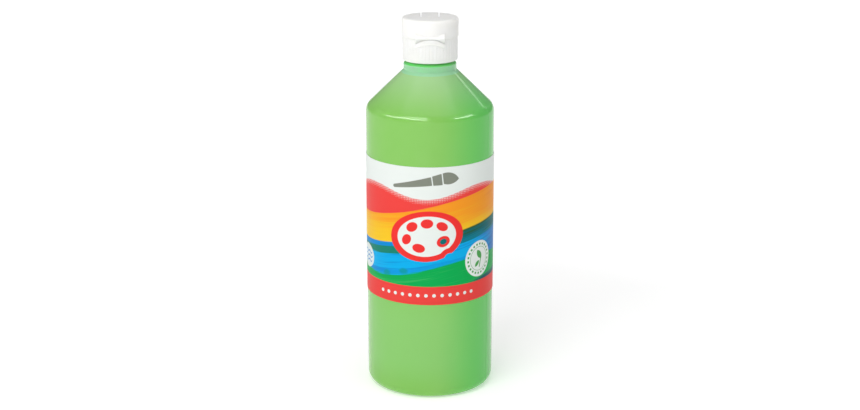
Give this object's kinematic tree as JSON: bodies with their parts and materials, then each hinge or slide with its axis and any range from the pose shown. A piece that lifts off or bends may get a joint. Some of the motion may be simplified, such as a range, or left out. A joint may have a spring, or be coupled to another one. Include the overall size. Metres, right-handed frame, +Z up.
{
  "type": "squeeze bottle of poster paint",
  "caption": "Upright round squeeze bottle of green poster paint with a wrap-round label and a white flip-top screw cap.",
  "frame": {"origin": "middle of the bottle's foot, on the plane it stands on", "axes": "+Z up along the bottle, -Y towards the thumb tab and the front of the label, +Y towards the lid's hinge, +X to the right seen from the front"},
  "size_m": [0.0684, 0.0682, 0.201],
  "materials": {
    "bottle_wall": "satin, milky translucent",
    "green_paint": "wet, opaque",
    "label_film": "printed satin film",
    "seal_foam": "matt foam",
    "cap_plastic": "satin, moulded"
  },
  "bodies": {
    "bottle": {"bottle": "bottle_wall", "paint_fill": "green_paint", "label": "label_film"},
    "seal": {"mouth_seal": "seal_foam"},
    "cap": {"cap_base": "cap_plastic", "hinge_web_left": "cap_plastic", "hinge_web_middle": "cap_plastic", "hinge_web_right": "cap_plastic"},
    "lid": {"lid": "cap_plastic"}
  },
  "joints": [
    {"name": "cap_lift", "type": "slide", "parent": "bottle", "child": "seal", "axis": [0, 0, 1], "range_m": [0, 0.00477]},
    {"name": "cap_turn", "type": "hinge", "parent": "seal", "child": "cap", "pos_m": [0, 0, 0.1884], "axis": [0, 0, 1], "range_deg": [0, 540]},
    {"name": "lid_flip", "type": "hinge", "parent": "cap", "child": "lid", "pos_m": [0, 0.0153, 0.19135], "axis": [-1, 0, 0], "range_deg": [0, 165], "deforming": ["hinge_web_left", "hinge_web_middle", "hinge_web_right"]}
  ],
  "couplings": [
    {"joint": "cap_lift", "follows": "cap_turn", "m_per_rad": 0.00050532}
  ]
}
